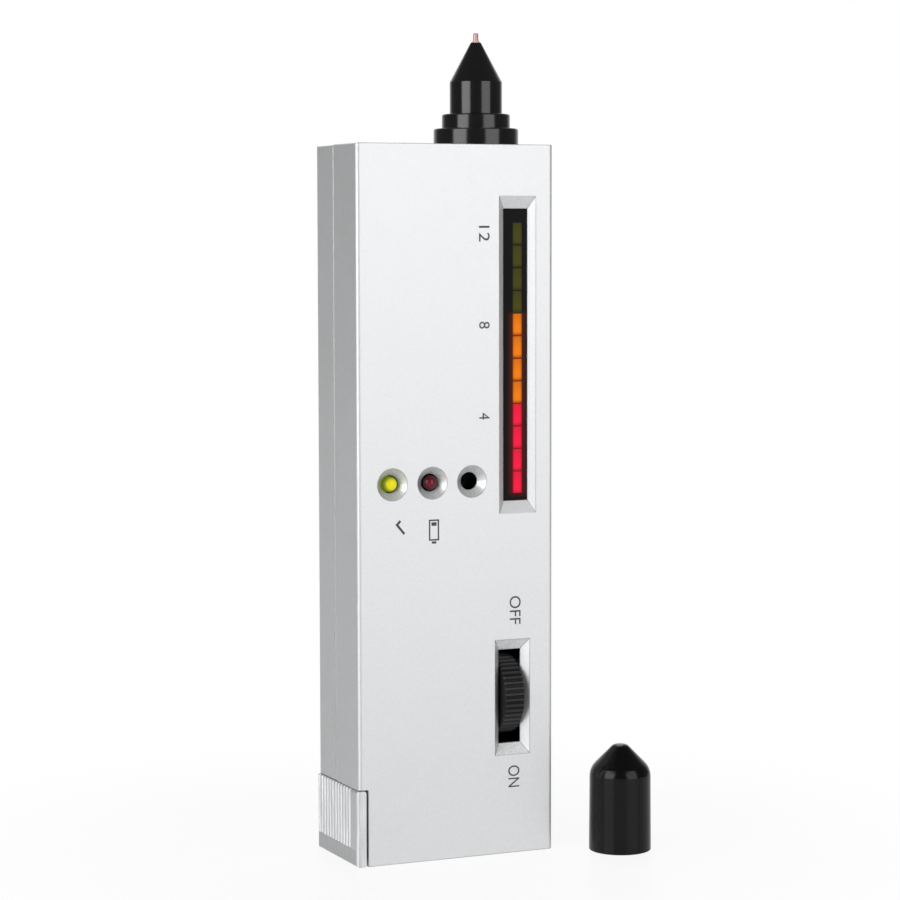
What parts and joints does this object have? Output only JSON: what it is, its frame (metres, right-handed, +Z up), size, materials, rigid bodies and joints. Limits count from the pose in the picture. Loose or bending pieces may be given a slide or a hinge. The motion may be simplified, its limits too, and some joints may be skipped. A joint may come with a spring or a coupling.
{
  "type": "gem tester",
  "caption": "Hand-held gem tester with a sprung copper probe in a black nose, a lamp bar, a thumbwheel switch and a sliding battery door; its nose cap stands beside it.",
  "frame": {"origin": "middle of the base of the case, which the tester stands on", "axes": "+Z up the case and along the probe, -Y out of the face with the lamps, +X to the face's right"},
  "size_m": [0.0614, 0.0341, 0.1651],
  "materials": {
    "silver_paint": "satin silver paint on moulded plastic",
    "black_gloss": "polished black plastic",
    "black_matte": "moulded black plastic",
    "bush_plastic": "pale insulating plastic",
    "copper": "bare copper, slightly dull",
    "brass": "turned brass",
    "steel": "zinc plated",
    "tinned_wire": "tinned",
    "board_green": "green solder mask",
    "green_lens": "unlit green lamp",
    "amber_lens": "lit amber lamp",
    "red_lens": "lit red lamp",
    "yellow_lens": "lit yellow lamp",
    "dark_red_lens": "unlit red lamp",
    "chip_black": "moulded epoxy",
    "can_sleeve": "shrunk plastic sleeve",
    "switch_body": "moulded phenolic",
    "battery_can": "plain wrapped can",
    "lead_blue": "insulated lead",
    "lead_red": "insulated lead"
  },
  "bodies": {
    "case": {"front_shell": "silver_paint", "rear_shell": "silver_paint", "nose": "black_gloss", "bargraph_housing": "black_matte", "buzzer": "black_matte", "battery_snap": "black_matte", "tip_bush": "bush_plastic", "spring_seat": "bush_plastic", "case_screws": "steel", "board_screws": "steel", "tip_spring": "steel", "battery_terminals": "steel", "pot_terminals": "tinned_wire", "bargraph_pins": "tinned_wire", "lamp_leads": "tinned_wire", "circuit_board": "board_green", "green_segments": "green_lens", "amber_segments": "amber_lens", "red_segments": "red_lens", "ready_lamp": "yellow_lens", "battery_lamp": "dark_red_lens", "driver_chip": "chip_black", "amplifier_chip": "chip_black", "regulator": "chip_black", "resistors": "chip_black", "capacitors": "can_sleeve", "switch_pot": "switch_body", "battery": "battery_can", "probe_leads": "lead_blue", "battery_leads": "lead_red"},
    "wheel": {"thumbwheel": "black_matte", "pot_shaft": "steel", "wheel_screw": "steel"},
    "probe": {"probe_tip": "copper", "probe_rod": "brass"},
    "door": {"battery_door": "silver_paint"},
    "cap": {"nose_cap": "black_gloss"}
  },
  "joints": [
    {"name": "wheel_turn", "type": "hinge", "parent": "case", "child": "wheel", "pos_m": [0.01225, -0.0041, 0.0318], "axis": [1, 0, 0], "range_deg": [-120, 160]},
    {"name": "tip_press", "type": "slide", "parent": "case", "child": "probe", "axis": [0, 0, -1], "range_m": [0, 0.0012], "stiffness_N_per_m": 400, "springref_m": -0.001, "deforming": ["tip_spring"]},
    {"name": "door_slide", "type": "slide", "parent": "case", "child": "door", "axis": [-1, 0, 0], "range_m": [0, 0.032]},
    {"name": "cap_lift", "type": "slide", "parent": "case", "child": "cap", "axis": [0, 0, 1], "range_m": [0, 0.17]}
  ]
}
